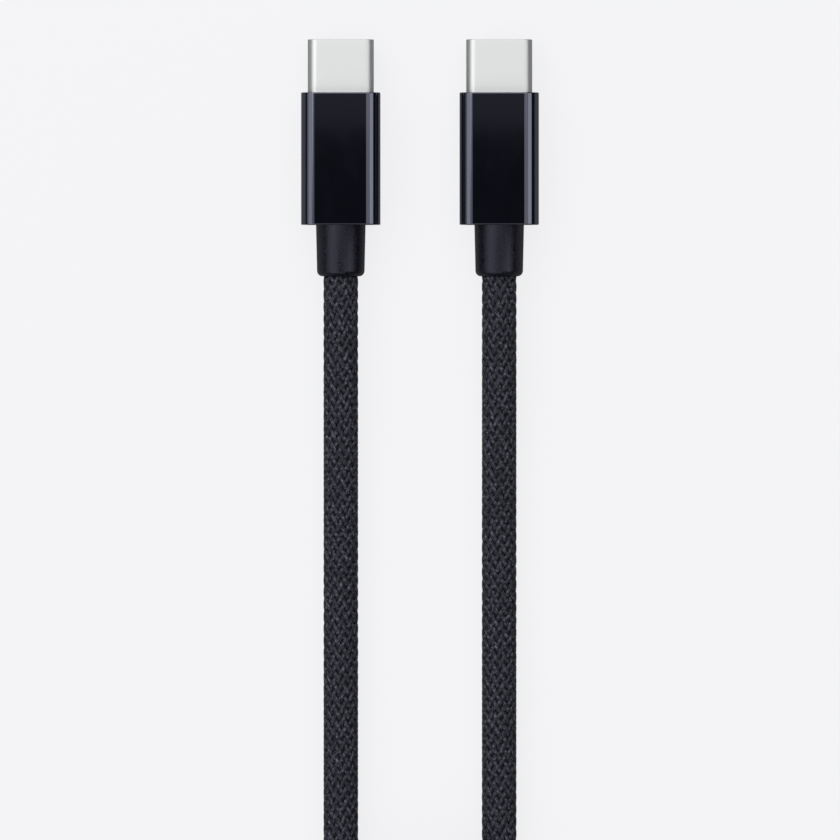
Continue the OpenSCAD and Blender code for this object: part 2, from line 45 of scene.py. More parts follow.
# ---- camera ----
# Straight down on the two plugs through a long lens, from 2 m over their axis. The view is 105 mm
# square, with its middle 32.8 mm behind the middle of the plugs. Sizes in metres.
camera_height, axis_height, view_width, view_middle_y = 2.0, 0.00315, 0.105, -0.03276
camera = bpy.data.objects.new("camera", bpy.data.cameras.new("camera"))
scene.collection.objects.link(camera)
camera.data.sensor_width = 36
camera.data.lens = camera.data.sensor_width * camera_height / view_width
camera.location = (0, view_middle_y, camera_height + axis_height)
scene.camera = camera

# ---- cord route ----
# One cord from the left boot down the left side, round the four loops of the tied hank and
# back up to the right boot. The hank lies just outside the view, in line with the plugs. Two
# strands lie in each layer; on the right each run turns the four a quarter turn on. Sizes in mm.
cord_d, gap, pitch, plug_len, axis_z, free_len = 4.2, 0.46, 19.8, 29.6, 3.15, 66.5
fold_r, hank_half, lead_bend_r, tie_w, tie_room, swell = 12.6, 24.0, 14.0, 6.0, 1.3, 0.07
free_steps, straight_steps, bend_steps, swing_steps, run_steps, fold_steps = 8, 4, 12, 14, 56, 40
lay, cord_r = cord_d + gap, cord_d / 2
outer = fold_r + lay
turn = math.acos((pitch / 2 + lead_bend_r) / (lead_bend_r + outer))
lead_y = -plug_len / 2 - free_len - cord_d
fold_y = lead_y - (lead_bend_r + outer) * math.sin(turn)
hank_y = fold_y - hank_half
waist = lay / 2 + 0.02
arc = ((fold_r - waist) ** 2 + hank_half ** 2) / (2 * (fold_r - waist))
waist_r = arc - fold_r
lean = math.atan2(hank_half, arc - (fold_r - waist))
run_half = arc * lean
tie_bed = tie_room / math.sin(math.pi * (0.5 - tie_w / (4 * run_half))) ** 2
places = [(1, 0), (0, 0), (0, 1), (1, 1)]


def half_run(l):
    """The inner strand at l mm from a fold towards the tie: its place, and the way out of the hank."""
    if l < fold_r * lean:
        a = l / fold_r
        return (-fold_r * math.cos(a), hank_half - fold_r * math.sin(a), -math.cos(a), -math.sin(a))
    b = l / waist_r - lean * (1 + fold_r / waist_r)
    return (waist_r * math.cos(b) - waist - waist_r, -waist_r * math.sin(b), -math.cos(b), math.sin(b))


def run(f):
    """The left run from fold to fold, f being the share of it."""
    if f <= 0.5:
        return half_run(2 * f * run_half)
    x, y, u, v = half_run(2 * (1 - f) * run_half)
    return (x, -y, u, -v)


def low(f):
    """The fold at the hank's low end."""
    g = math.pi * f
    return (-fold_r * math.cos(g), -hank_half - fold_r * math.sin(g), -math.cos(g), -math.sin(g))


def over(q):
    """The same place on the hank's other side."""
    return tuple(-v for v in q)


def track(q, out, level, f=0.0):
    """A strand beside the inner one: out strands out, level strands up, and lifted under the tie."""
    rise = tie_bed * math.sin(math.pi * f) ** 2
    return (q[0] + q[2] * out * lay, hank_y + q[1] + q[3] * out * lay, cord_r + level * lay + rise)


def eased(t):
    """A share that sets off and ends softly, kept between nought and one."""
    t = max(0.0, min(1.0, t))
    return t * t * (3 - 2 * t)


def right_run(n, f):
    """Loop n's way back, while the four strands turn a quarter turn round each other."""
    t = math.pi / 2 * eased(f)
    a = -math.pi / 4 - math.pi / 2 * n - t
    mid, spread = (math.cos(t) + math.sin(t)) / 2, 1 + swell * math.sin(math.pi * f) ** 2
    return track(over(run(f)), spread * (mid + math.cos(a) / math.sqrt(2)),
                 spread * (mid + math.sin(a) / math.sqrt(2)), f)


# Each free end sinks from the boot to the table: mm behind the boot, and the share of the height left.
free_route = [(0, 1), (5, 1), (13, 0.7), (22, 0.2), (30, 0), (40, 0), (50, 0), (58, 0), (free_len, 0)]
free = []
for i in range(len(free_route) - 1):
    p = [free_route[max(0, min(len(free_route) - 1, k))] for k in (i - 1, i, i + 1, i + 2)]
    slope = [(p[k + 1][1] - p[k - 1][1]) / (p[k + 1][0] - p[k - 1][0]) for k in (1, 2)]
    span = p[2][0] - p[1][0]
    for k in range(free_steps):
        s = k / free_steps
        z = ((2 * s ** 3 - 3 * s ** 2 + 1) * p[1][1] + (s ** 3 - 2 * s ** 2 + s) * span * slope[0]
             + (3 * s ** 2 - 2 * s ** 3) * p[2][1] + (s ** 3 - s ** 2) * span * slope[1])
        free.append((-pitch / 2, -plug_len / 2 - p[1][0] - span * s, cord_r + (axis_z - cord_r) * z))
lead = [(-pitch / 2, lead_y + cord_d * (1 - k / straight_steps), cord_r) for k in range(straight_steps)]
for k in range(bend_steps):
    a = turn * k / bend_steps
    lead.append((-pitch / 2 - lead_bend_r * (1 - math.cos(a)), lead_y - lead_bend_r * math.sin(a), cord_r))
for k in range(swing_steps):
    a = turn * (1 - k / swing_steps)
    lead.append((-outer * math.cos(a), fold_y + outer * math.sin(a), cord_r))
loops = []
for n, (out, level) in enumerate(places):
    loops += [track(run(k / run_steps), out, level, k / run_steps) for k in range(run_steps)]
    loops += [track(low(k / fold_steps), out, level) for k in range(fold_steps)]
    loops += [right_run(n, k / run_steps) for k in range(run_steps)]
    if n < 3:
        loops += [track(over(low(k / fold_steps)), *places[n + 1]) for k in range(fold_steps)]
loops.append(right_run(3, 1))
other = [(-x, y, z) for x, y, z in reversed(free + lead)]
route = [Vector(p) / 1000 for p in free + lead + loops + other]
cord_length = sum((b - a).length for a, b in zip(route, route[1:]))

guide_data = bpy.data.curves.new("cord_guide", "CURVE")
guide_data.dimensions = "3D"
spline = guide_data.splines.new("POLY")
spline.points.add(len(route) - 1)
for point, place in zip(spline.points, route):
    point.co = (*place, 1)
guide = bpy.data.objects.new("cord_guide", guide_data)
scene.collection.objects.link(guide)

# ---- cord: braid ----
# Forty charcoal yarns, twenty turning each way round the cord once in 30.4 mm. Each passes over
# two and under two, so the surface shows columns of leaning floats that meet in chevrons. A yarn
# is half a millimetre wide and is three threads side by side, plump where it crosses on top. Wave
# is its rise and dip, Sway its lean within a float, and Twist the columns' drift round the cord.
yarns = bpy.data.node_groups.new("yarns_of_one_hand", "GeometryNodeTree")
for name, kind, value in (
        ("Geometry", "Geometry", None), ("Material", "Material", None), ("Sides", "Int", 6),
        ("Points", "Int", 2425), ("First point", "Int", 0), ("Last point", "Int", 2424),
        ("Step", "Float", 0.000385), ("Shift", "Float", 0.0004), ("Yarns", "Int", 20),
        ("Hand", "Float", 1), ("Pitch", "Float", 0.0304), ("Radius", "Float", 0.00185),
        ("Wave", "Float", 0.0001), ("Turn", "Float", math.radians(-1.8)), ("Twist", "Float", -8.8),
        ("Sway", "Float", math.radians(2.0)), ("Width", "Float", 0.00056), ("Thickness", "Float", 0.00023)):
    socket = yarns.interface.new_socket(name, in_out="INPUT", socket_type="NodeSocket" + kind)
    if value is not None:
        socket.default_value = value
yarns.interface.new_socket("Geometry", in_out="OUTPUT", socket_type="NodeSocketGeometry")


def fitted(tree, kind, inputs=(), **settings):
    """A node in a tree, with its inputs set to values or joined to other nodes' outputs."""
    n = tree.nodes.new(kind)
    for key, value in settings.items():
        setattr(n, key, value)
    for key, value in dict(inputs).items():
        if isinstance(value, bpy.types.NodeSocket):
            tree.links.new(value, n.inputs[key])
        else:
            n.inputs[key].default_value = value
    return n


def part(kind, inputs=(), **settings):
    """A node of the yarns' tree."""
    return fitted(yarns, kind, inputs, **settings)


def sums(operation, a, b=None):
    """One step of sums in the yarns' tree."""
    return part("ShaderNodeMath", {0: a} if b is None else {0: a, 1: b}, operation=operation).outputs[0]


def vectors(operation, a, b, scale=False):
    """One step of sums with vectors in the yarns' tree."""
    n = part("ShaderNodeVectorMath", {0: a, "Scale": b} if scale else {0: a, 1: b}, operation=operation)
    return n.outputs[0]


given = part("NodeGroupInput").outputs
fine = part("GeometryNodeResampleCurve", {"Curve": given["Geometry"], "Count": given["Points"]},
            mode="COUNT")
kept = part("GeometryNodeCaptureAttribute", {"Geometry": fine.outputs[0]}, domain="POINT")
point = part("GeometryNodeInputIndex").outputs[0]
for name, kind, value in (("along", "FLOAT", sums("MULTIPLY", point, given["Step"])),
                          ("ahead", "VECTOR", part("GeometryNodeInputTangent").outputs[0]),
                          ("side", "VECTOR", part("GeometryNodeInputNormal").outputs[0])):
    kept.capture_items.new(kind, name)
    yarns.links.new(value, kept.inputs[name])
along, ahead, side = (kept.outputs[n] for n in ("along", "ahead", "side"))
from_first, to_last = (
    part("FunctionNodeCompare", {2: point, 3: given[name]}, data_type="INT", operation=operation).outputs[0]
    for name, operation in (("First point", "GREATER_EQUAL"), ("Last point", "LESS_EQUAL")))
inside = part("FunctionNodeBooleanMath", {0: from_first, 1: to_last}, operation="AND").outputs[0]
stretch = part("GeometryNodeSeparateGeometry", {"Geometry": kept.outputs[0], "Selection": inside},
               domain="POINT")
copies = part("GeometryNodeDuplicateElements", {"Geometry": stretch.outputs[0], "Amount": given["Yarns"]},
              domain="SPLINE")
number = copies.outputs["Duplicate Index"]
tau = 2 * math.pi
own_start = sums("DIVIDE", sums("MULTIPLY", number, tau), given["Yarns"])
gone_round = sums("DIVIDE", sums("MULTIPLY", sums("SUBTRACT", along, given["Shift"]), tau), given["Pitch"])
angle = sums("ADD", own_start, sums("MULTIPLY", gone_round, given["Hand"]))
crossing = sums("SUBTRACT", sums("MULTIPLY", angle, sums("DIVIDE", given["Yarns"], 2.0)), math.pi / 4)
over_under = sums("COSINE", crossing)
steepness, full_height = 1.5, 1.1
flattened = sums("MULTIPLY", sums("TANH", sums("MULTIPLY", over_under, steepness)), full_height)
wave = sums("MULTIPLY", flattened, given["Hand"])
swayed = sums("MULTIPLY", sums("MULTIPLY", sums("SINE", crossing), given["Sway"]), given["Hand"])
drift = sums("ADD", given["Turn"], sums("MULTIPLY", along, given["Twist"]))
turned = sums("ADD", sums("ADD", angle, swayed), drift)
binormal = vectors("CROSS_PRODUCT", ahead, side)
outward = vectors("ADD", vectors("SCALE", side, sums("COSINE", turned), True),
                  vectors("SCALE", binormal, sums("SINE", turned), True))
reach = sums("ADD", given["Radius"], sums("MULTIPLY", wave, given["Wave"]))
frozen = part("GeometryNodeCaptureAttribute", {"Geometry": copies.outputs[0]}, domain="POINT")
for name, kind, value in (("outward", "VECTOR", outward), ("number", "FLOAT", number),
                          ("wave", "FLOAT", wave)):
    frozen.capture_items.new(kind, name)
    yarns.links.new(value, frozen.inputs[name])
moved = part("GeometryNodeSetPosition", {
    "Geometry": frozen.outputs[0], "Offset": vectors("SCALE", frozen.outputs["outward"], reach, True)})
upright = part("GeometryNodeSetCurveNormal", {"Curve": moved.outputs[0], "Normal": frozen.outputs["outward"]},
               mode="FREE")
half_oval = part("GeometryNodeCurveArc", {"Resolution": given["Sides"], "Radius": 1.0,
                                          "Start Angle": -math.pi / 2, "Sweep Angle": math.pi})
yarn_size = part("ShaderNodeCombineXYZ", {0: given["Thickness"], 1: sums("MULTIPLY", given["Width"], 0.5),
                                          2: 1.0}).outputs[0]
flat = part("GeometryNodeTransform", {"Geometry": half_oval.outputs[0], "Scale": yarn_size})
rim = part("GeometryNodeCaptureAttribute", {"Geometry": flat.outputs[0]}, domain="POINT")
rim.capture_items.new("FLOAT", "across")
yarns.links.new(part("GeometryNodeSplineParameter").outputs["Factor"], rim.inputs["across"])
swept = part("GeometryNodeCurveToMesh", {"Curve": upright.outputs[0], "Profile Curve": rim.outputs[0]})
own_number = sums("ADD", sums("MULTIPLY", given["Hand"], 50), frozen.outputs["number"])
tone = part("FunctionNodeRandomValue", {2: 0.0, 3: 1.0, "ID": own_number, "Seed": 7},
            data_type="FLOAT").outputs[1]
# lift, how high each point of a yarn stands in the weave, is kept only to paint shade into the yarns' colour
# where they dip under.
lift = sums("ADD", sums("MULTIPLY", frozen.outputs["wave"], 0.45), 0.5)
uv = part("ShaderNodeCombineXYZ", {0: rim.outputs["across"], 1: sums("MULTIPLY", along, 1000.0), 2: tone})
marked = swept
for name, kind, domain, value in (("UVMap", "FLOAT2", "CORNER", uv.outputs[0]),
                                  ("tone", "FLOAT", "POINT", tone), ("lift", "FLOAT", "POINT", lift)):
    marked = part("GeometryNodeStoreNamedAttribute", {"Geometry": marked.outputs[0], "Name": name,
                                                      "Value": value}, data_type=kind, domain=domain)
smooth = part("GeometryNodeSetShadeSmooth", {"Geometry": marked.outputs[0]})
real = part("GeometryNodeRealizeInstances", {"Geometry": smooth.outputs[0]})
coated = part("GeometryNodeSetMaterial", {"Geometry": real.outputs[0], "Material": given["Material"]})
part("NodeGroupOutput", {0: coated.outputs[0]})

braid_paint = bpy.data.materials.new("braided_yarn")
braid_paint.use_nodes = True
tree = braid_paint.node_tree
surface = tree.nodes["Principled BSDF"]
for key, value in (("Roughness", 0.42), ("IOR", 1.32), ("Specular Tint", (0.76, 0.80, 1.0, 1))):
    surface.inputs[key].default_value = value
threads_in_yarn, flecks_per_mm, filaments_per_mm, filaments_across, fleck_share = 3, 2.6, 3.4, 16.0, 0.72
yarn_spacing, thread_spacing, thread_relief, filament_relief = 90.0, 7.3, 0.00005, 0.5
red_share, green_share = 0.77, 0.80


def sum_of(operation, a, b=0.0, c=0.0):
    """One step of sums in the material that is being made."""
    return fitted(tree, "ShaderNodeMath", {0: a, 1: b, 2: c}, operation=operation).outputs[0]


def between(value, low, high, at_low, at_high):
    """A smooth step from one value to another, in the material that is being made."""
    limits = {"Value": value, "From Min": low, "From Max": high, "To Min": at_low, "To Max": at_high}
    return fitted(tree, "ShaderNodeMapRange", limits, interpolation_type="SMOOTHSTEP").outputs[0]


def ramp(value, *stops):
    """Colours between stops of place, red, green and blue, in the material that is being made."""
    colours = fitted(tree, "ShaderNodeValToRGB", {0: value})
    for _ in stops[2:]:
        colours.color_ramp.elements.new(1.0)
    for stop, (position, *colour) in zip(colours.color_ramp.elements, stops):
        stop.position, stop.color = position, (*colour, 1)
    return colours.outputs[0]


def streaks(x, y):
    """Noise over a yarn, at x across and y along it."""
    place = fitted(tree, "ShaderNodeCombineXYZ", {0: x, 1: y}).outputs[0]
    return fitted(tree, "ShaderNodeTexNoise", {"Vector": place, "Scale": 1.0, "Detail": 2.0}).outputs["Fac"]


place = fitted(tree, "ShaderNodeUVMap", uv_map="UVMap").outputs[0]
across, down, _ = fitted(tree, "ShaderNodeSeparateXYZ", {0: place}).outputs
yarn_tone, yarn_lift = (fitted(tree, "ShaderNodeAttribute", attribute_name=name).outputs["Fac"]
                        for name in ("tone", "lift"))
in_threads = sum_of("MULTIPLY", across, threads_in_yarn)
own_yarn = sum_of("MULTIPLY", yarn_tone, yarn_spacing)
own_place = sum_of("ADD", own_yarn, sum_of("MULTIPLY", sum_of("FLOOR", in_threads), thread_spacing))
# The flecks are the yarn's uneven fibre tone, and their brightest spots, where the ramp reaches its top stop,
# are painted glints.
flecks_and_painted_glints = streaks(own_place, sum_of("MULTIPLY", down, flecks_per_mm))
filaments = streaks(sum_of("ADD", own_place, sum_of("MULTIPLY", across, filaments_across)),
                    sum_of("MULTIPLY", down, filaments_per_mm))
crown = sum_of("ABSOLUTE", sum_of("SINE", sum_of("MULTIPLY", in_threads, math.pi)))
tint = sum_of("ADD", sum_of("MULTIPLY", flecks_and_painted_glints, fleck_share), sum_of("MULTIPLY", filaments, 1 - fleck_share))
tints = ramp(tint, *((at, red_share * blue, green_share * blue, blue)
                     for at, blue in ((0.35, 0.009), (0.52, 0.040), (0.66, 0.16))))
# The yarns' colour is painted darker where they dip under the crossing yarns, towards each yarn's edges and
# between its threads, and a touch lighter on the crests: painted shade and light in the weave.
edge = sum_of("ABSOLUTE", sum_of("SUBTRACT", across, 0.5))
painted_shade_in_dips = between(yarn_lift, 0.40, 0.92, 0.05, 1.05)
painted_shade_at_edges = between(edge, 0.28, 0.48, 1.0, 0.32)
painted_shade_between_threads = between(crown, 0.0, 0.7, 0.45, 1.0)
painted_shade = sum_of("MULTIPLY", painted_shade_in_dips, sum_of("MULTIPLY", painted_shade_at_edges, painted_shade_between_threads))
shaded = fitted(tree, "ShaderNodeVectorMath", {0: tints, "Scale": painted_shade}, operation="SCALE").outputs[0]
tree.links.new(shaded, surface.inputs["Base Color"])
height = sum_of("MULTIPLY_ADD", filaments, filament_relief, crown)
relief = fitted(tree, "ShaderNodeBump", {"Strength": 0.8, "Distance": thread_relief, "Height": height})
tree.links.new(relief.outputs[0], surface.inputs["Normal"])

# The cord is cut into stretches at points that both neighbours share, so no join shows. The two
# that are seen close up have twice the points.
braid, coarse_steps = [], 2424
splits = [round(coarse_steps * share) for share in (0, 0.0773, 0.2887, 0.5, 0.7113, 0.9227, 1)]
names = ["left_cord_braid", *(f"hank_braid_{k}" for k in range(1, 5)), "right_cord_braid"]
for name, first_split, last_split in zip(names, splits, splits[1:]):
    near = "cord" in name
    finer = 2 if near else 1
    hands = []
    for hand in (1.0, -1.0):
        holder = bpy.data.objects.new(name, guide_data)
        scene.collection.objects.link(holder)
        maker = holder.modifiers.new("yarns", "NODES")
        maker.node_group = yarns
        keys = {s.name: s.identifier for s in yarns.interface.items_tree if s.in_out == "INPUT"}
        for key, value in {"Points": coarse_steps * finer + 1, "Step": cord_length / (coarse_steps * finer),
                           "First point": first_split * finer, "Last point": last_split * finer,
                           "Hand": hand, "Sides": 6 if near else 4, "Material": braid_paint}.items():
            maker[keys[key]] = value
        bpy.context.view_layer.update()
        made = holder.evaluated_get(bpy.context.evaluated_depsgraph_get())
        hands.append(bpy.data.meshes.new_from_object(made))
        bpy.data.objects.remove(holder)
    piece = bpy.data.objects.new(name, hands[0])
    scene.collection.objects.link(piece)
    other_hand = bpy.data.objects.new(name + "_b", hands[1])
    scene.collection.objects.link(other_hand)
    with bpy.context.temp_override(active_object=piece, selected_editable_objects=[piece, other_hand],
                                   selected_objects=[piece, other_hand]):
        bpy.ops.object.join()
    braid.append(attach(piece, "cable"))

# ---- cord: core ----
# The round tube under the braid: a soft black jacket over the shield and wires. It shows only as
# the dark in the gaps between the yarns.
core_radius = 0.00158
core_data = guide_data.copy()
core_data.bevel_depth = core_radius
core_data.bevel_resolution = 3
core_data.use_fill_caps = True
core_curve = bpy.data.objects.new("core_curve", core_data)
scene.collection.objects.link(core_curve)
bpy.context.view_layer.update()
made = core_curve.evaluated_get(bpy.context.evaluated_depsgraph_get())
core_mesh = bpy.data.meshes.new_from_object(made)
bpy.data.objects.remove(core_curve)
core = bpy.data.objects.new("cord_core", core_mesh)
scene.collection.objects.link(core)

# How a moulded, plated or drawn surface varies: grain by grain, in colour, gloss and height.
grain = bpy.data.node_groups.new("surface_grain", "ShaderNodeTree")
for name, kind, value in (("Place", "Vector", (0, 0, 0)), ("Colour", "Color", (0.5, 0.5, 0.5, 1)),
                          ("Colour spread", "Float", 0.1), ("Roughness", "Float", 0.5),
                          ("Roughness spread", "Float", 0.05)):
    grain.interface.new_socket(name, in_out="INPUT", socket_type="NodeSocket" + kind).default_value = value
for name, kind in (("Colour", "Color"), ("Roughness", "Float"), ("Height", "Float")):
    grain.interface.new_socket(name, in_out="OUTPUT", socket_type="NodeSocket" + kind)
asked, given_back = grain.nodes.new("NodeGroupInput"), grain.nodes.new("NodeGroupOutput")
speckle = fitted(grain, "ShaderNodeTexNoise", {"Vector": asked.outputs["Place"], "Scale": 1.0,
                                               "Detail": 3.0}).outputs["Fac"]
swing = fitted(grain, "ShaderNodeMapRange", {"Value": speckle, "From Min": 0.25, "From Max": 0.75,
                                             "To Min": -1.0, "To Max": 1.0}).outputs[0]
lighter, rougher = (
    fitted(grain, "ShaderNodeMath", {0: swing, 1: asked.outputs[spread], 2: base},
           operation="MULTIPLY_ADD").outputs[0]
    for spread, base in (("Colour spread", 1.0), ("Roughness spread", asked.outputs["Roughness"])))
tinted = fitted(grain, "ShaderNodeVectorMath", {0: asked.outputs["Colour"], "Scale": lighter},
                operation="SCALE").outputs[0]
for name, value in (("Colour", tinted), ("Roughness", rougher), ("Height", speckle)):
    grain.links.new(value, given_back.inputs[name])


def finish(name, colour, roughness, grain_mm=(0.1, 0.1, 0.1), colour_spread=0.1, roughness_spread=0.05,
           relief_mm=0.002, **surface_values):
    """A material with its grain at a size in millimetres along x, y and z."""
    made = bpy.data.materials.new(name)
    made.use_nodes = True
    own = made.node_tree
    shader = own.nodes["Principled BSDF"]
    place = fitted(own, "ShaderNodeTexCoord").outputs["Object"]
    sized = fitted(own, "ShaderNodeMapping", {0: place, "Scale": [1000 / size for size in grain_mm]})
    varied = fitted(own, "ShaderNodeGroup", {
        "Place": sized.outputs[0], "Colour": (*colour, 1), "Colour spread": colour_spread,
        "Roughness": roughness, "Roughness spread": roughness_spread}, node_tree=grain).outputs
    bump = fitted(own, "ShaderNodeBump", {"Distance": relief_mm / 1000, "Height": varied["Height"]})
    for key, value in (("Base Color", varied["Colour"]), ("Roughness", varied["Roughness"]),
                       ("Normal", bump.outputs[0])):
        own.links.new(value, shader.inputs[key])
    for key, value in surface_values.items():
        shader.inputs[key.replace("_", " ")].default_value = value
    return made


core_mesh.materials.clear()
core_mesh.materials.append(finish("cord_jacket", (0.006, 0.006, 0.008), 0.8, grain_mm=(0.5, 0.5, 0.5),
                                  colour_spread=0.2))
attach(core, "cable")
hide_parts("left_free_cord", "cord_hank", "right_free_cord")
bpy.data.objects.remove(guide)

# ---- strap ----
# A black hook-and-loop strap, 6 mm wide, wraps the middle of the hank once and closes on itself
# with its end on top. Its face is a pile of fine loops between two ribbed woven edges.
strap_t, strap_clear, overlap, strap_grid, pile_size, pile_deep = 0.8, 0.5, 13.0, 0.16, 0.45, 0.07
edge_in, steps_across, edge_steps, steps_round = 0.3, 26, 6, 72
start_share, lap_from, lap_rise, lap_gap, level_reach = 0.58, 3.5, 4.0, 0.04, 0.4
end_length, end_thickness, end_width = 1.2, 0.45, 0.72
tie_edge = 0.5 - tie_w / (4 * run_half)
strands = [track(run(f), out, level, f) for out, level in places for f in (tie_edge, 1 - tie_edge)]
strands += [right_run(n, f) for n in range(4) for f in (tie_edge, 1 - tie_edge)]
reach_out = cord_r + strap_clear + strap_t / 2
angles = [tau * k / steps_round for k in range(steps_round)]
dots = sorted({(round(x + reach_out * math.cos(a), 4), round(z + reach_out * math.sin(a), 4))
               for x, _, z in strands for a in angles})
hull = []
for row in (dots, dots[::-1]):
    start = len(hull)
    for p in row:
        while len(hull) - start > 1 and ((hull[-1][0] - hull[-2][0]) * (p[1] - hull[-2][1])
                                         - (hull[-1][1] - hull[-2][1]) * (p[0] - hull[-2][0])) <= 0:
            hull.pop()
        hull.append(p)
    hull.pop()
edges = [(p, q, math.dist(p, q)) for p, q in zip(hull, hull[1:] + hull[:1])]
girth = sum(length for _, _, length in edges)


def round_strap(s):
    """The middle of the strap's first layer, s mm round the hank."""
    s %= girth
    for p, q, length in edges:
        if s <= length:
            t = s / length
            return (p[0] + (q[0] - p[0]) * t, p[1] + (q[1] - p[1]) * t)
        s -= length
    return hull[0]


flat_half = tie_w / 2 - edge_in
across_flat = [-flat_half + 2 * flat_half * k / steps_across for k in range(steps_across + 1)]
edge_angles = [math.pi * k / edge_steps for k in range(1, edge_steps)]
bends = [(math.cos(a), math.sin(a)) for a in edge_angles]
section = [(y, 1.0, 0.0) for y in across_flat] + [(flat_half, up, out) for up, out in bends]
section += [(y, -1.0, 0.0) for y in across_flat[::-1]] + [(-flat_half, -up, -out) for up, out in bends]
start_at, strap_length = girth * start_share, girth + overlap
count = int(strap_length / strap_grid)
points, places_uv = [], []
for i in range(count + 1):
    s = strap_length * i / count
    here, ahead_of, behind = (round_strap(start_at + s + e) for e in (0, level_reach, -level_reach))
    along_x, along_z = ahead_of[0] - behind[0], ahead_of[1] - behind[1]
    size = math.hypot(along_x, along_z)
    out_x, out_z = along_z / size, -along_x / size
    layer = (strap_t + lap_gap) * eased((s - girth + lap_from) / lap_rise)
    from_end = min(1.0, min(s, strap_length - s) / end_length)
    end = math.sqrt(max(0.0, 1 - (1 - from_end) ** 2))
    half_t = strap_t / 2 * (end_thickness + (1 - end_thickness) * end)
    narrowed = end_width + (1 - end_width) * end
    for y, up, out in section:
        fluff = pile_deep * noise.noise(Vector((s / pile_size, y / pile_size, up))) if out == 0 else 0
        high = layer + up * (half_t + fluff)
        side_y = hank_y + (y + out * edge_in) * narrowed
        points.append(((here[0] + out_x * high) / 1000, side_y / 1000, (here[1] + out_z * high) / 1000))
        places_uv.append((s, y))
ring = len(section)
faces = [(i * ring + k, i * ring + (k + 1) % ring, (i + 1) * ring + (k + 1) % ring, (i + 1) * ring + k)
         for i in range(count) for k in range(ring)]
faces += [tuple(range(ring))[::-1], tuple(count * ring + k for k in range(ring))]
strap_mesh = bpy.data.meshes.new("hank_strap")
strap_mesh.from_pydata(points, [], faces)
strap_uv = strap_mesh.uv_layers.new(name="UVMap")
for loop in strap_mesh.loops:
    strap_uv.data[loop.index].uv = places_uv[loop.vertex_index]
strap_mesh.shade_smooth()

strap_paint = bpy.data.materials.new("looped_strap")
strap_paint.use_nodes = True
tree = strap_paint.node_tree
surface = tree.nodes["Principled BSDF"]
for key, value in (("Roughness", 0.75), ("IOR", 1.35), ("Sheen Weight", 0.08)):
    surface.inputs[key].default_value = value
rib_width, rib_height, rib_middle, woven_edge, edge_blend = 0.36, 0.12, 0.3, 0.55, 0.2
loops_per_mm, fuzz_per_mm, loop_share, strap_relief = 3.0, 7.0, -0.55, 0.00014
place = fitted(tree, "ShaderNodeUVMap", uv_map="UVMap").outputs[0]
along_strap, over_strap, _ = fitted(tree, "ShaderNodeSeparateXYZ", {0: place}).outputs
small_loops = fitted(tree, "ShaderNodeTexVoronoi", {"Vector": place, "Scale": loops_per_mm},
                     voronoi_dimensions="2D", feature="F1").outputs["Distance"]
fuzz = fitted(tree, "ShaderNodeTexNoise", {"Vector": place, "Scale": fuzz_per_mm, "Detail": 4.0,
                                           "Roughness": 0.65}).outputs["Fac"]
pile = sum_of("ADD", sum_of("MULTIPLY", small_loops, loop_share), fuzz)
ripple = sum_of("SINE", sum_of("MULTIPLY", along_strap, tau / rib_width))
ribs = sum_of("MULTIPLY_ADD", ripple, rib_height, rib_middle)
on_edge = between(sum_of("ABSOLUTE", over_strap), tie_w / 2 - woven_edge - edge_blend,
                  tie_w / 2 - woven_edge, 0.0, 1.0)
raised = fitted(tree, "ShaderNodeMix", {"Factor": on_edge, "A": pile, "B": ribs},
                data_type="FLOAT").outputs[0]
# The colour follows the same height, darker where the pile's loops and the ribs lie low: painted shade in
# their hollows.
tree.links.new(ramp(raised, (0.10, 0.0025, 0.0025, 0.003), (0.55, 0.022, 0.0225, 0.025)),
               surface.inputs["Base Color"])
tree.links.new(fitted(tree, "ShaderNodeBump", {"Distance": strap_relief, "Height": raised}).outputs[0],
               surface.inputs["Normal"])
strap_mesh.materials.append(strap_paint)
strap = bpy.data.objects.new("hank_strap", strap_mesh)
scene.collection.objects.link(strap)
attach(strap, "cable")
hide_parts("cord_tie")

# ---- metal shells ----
# Each plug's shell is drawn from one piece of steel, plated and satin bright: a flat oval tube
# with a rounded lip. Its rear third is inside the housing. Sizes in mm, behind the plug's tip.
tip_y, shell_w, shell_h, shell_wall, shell_reach, shell_len = 14.8, 8.25, 2.4, 0.2, 6.65, 10.2
lip_r, inner_lip_r, lip_len = 0.07, 0.08, 0.11


def outline(w, h, corner, steps=16, near=0.06):
    """A rounded rectangle seen from the front, with close points beside each corner."""
    found = []
    for quarter, (sx, sz) in enumerate(((1, 1), (-1, 1), (-1, -1), (1, -1))):
        cx, cz = sx * (w / 2 - corner), sz * (h / 2 - corner)
        angles = [math.pi / 2 * (quarter + k / steps) for k in range(steps + 1)]
        bend = [(cx + corner * math.cos(a), cz + corner * math.sin(a)) for a in angles]
        flats = (h / 2 - corner, w / 2 - corner) if quarter % 2 == 0 else (w / 2 - corner, h / 2 - corner)
        before, after = (
            (x + min(near, flat) * math.cos(a), z + min(near, flat) * math.sin(a))
            for (x, z), a, flat in ((bend[0], angles[0] - math.pi / 2, flats[0]),
                                    (bend[-1], angles[-1] + math.pi / 2, flats[1])))
        found += [before, *bend, after]
    return found


def rounding(radius, steps):
    """A rounded edge from one face to the next: how far each point lies in from the two faces."""
    angles = [math.pi / 2 * k / steps for k in range(steps + 1)]
    return [(radius * (1 - math.sin(a)), radius * (1 - math.cos(a))) for a in angles]


